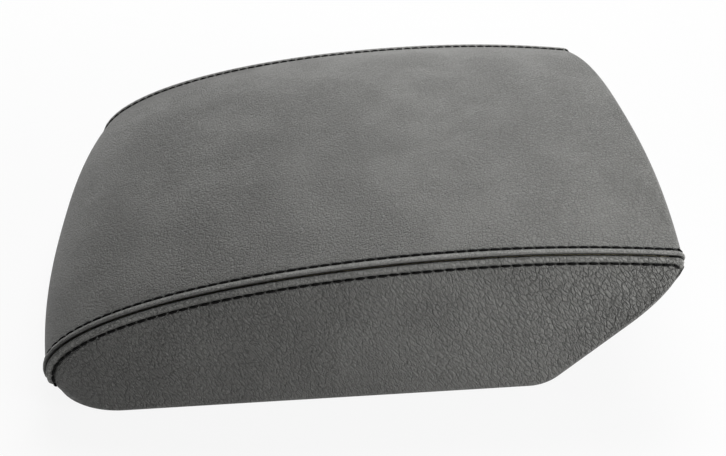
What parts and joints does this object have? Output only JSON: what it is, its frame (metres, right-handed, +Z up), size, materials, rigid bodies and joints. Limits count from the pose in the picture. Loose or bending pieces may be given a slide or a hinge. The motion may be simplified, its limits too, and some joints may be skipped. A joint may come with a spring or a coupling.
{
  "type": "car centre armrest",
  "caption": "Leather covered padded centre console armrest lid with double stitched seams, inner liner, friction hinge and front latch paddle.",
  "frame": {"origin": "centre of the bounding box in plan, on the plane that the rubber stops and the console leaf rest on", "axes": "+X towards the front lip and latch, +Y to the left, +Z up out of the padded top"},
  "size_m": [0.308, 0.23, 0.0945],
  "materials": {
    "leather": "dark warm grey grained leather, soft sheen",
    "thread": "black bonded sewing thread",
    "foam": "moulded polyurethane foam, off white",
    "carrier": "black glass filled polypropylene",
    "liner": "black grained ABS",
    "latch": "black acetal",
    "steel": "zinc plated steel",
    "rubber": "black rubber",
    "acetal": "natural acetal"
  },
  "bodies": {
    "console_side": {"hinge_console_leaf": "steel", "hinge_pin": "steel", "hinge_clip": "steel"},
    "lid": {"top_cover": "leather", "side_cover_left": "leather", "side_cover_right": "leather", "seam_thread_left": "thread", "seam_thread_right": "thread", "foam_pad": "foam", "lid_shell": "carrier", "liner_panel": "liner", "liner_screws": "steel", "stop_rear_left": "rubber", "stop_rear_right": "rubber", "stop_front_left": "rubber", "stop_front_right": "rubber", "hinge_lid_leaf": "steel", "hinge_lid_screws": "steel", "hinge_bushing_left": "acetal", "hinge_bushing_right": "acetal", "wave_washer": "steel", "friction_washer": "acetal", "latch_housing": "latch", "latch_screws": "steel", "latch_pin": "steel", "latch_clip": "steel", "latch_spring": "steel"},
    "lever": {"latch_lever": "latch"}
  },
  "joints": [
    {"name": "lid_hinge", "type": "hinge", "parent": "console_side", "child": "lid", "pos_m": [-0.128, 0, 0.0058], "axis": [0, -1, 0], "range_deg": [0, 95]},
    {"name": "latch_pivot", "type": "hinge", "parent": "lid", "child": "lever", "pos_m": [0.095, 0, 0.027], "axis": [0, -1, 0], "range_deg": [0, 14], "stiffness_Nm_per_rad": 0.12, "springref_deg": -28.65, "deforming": ["latch_spring"]}
  ]
}
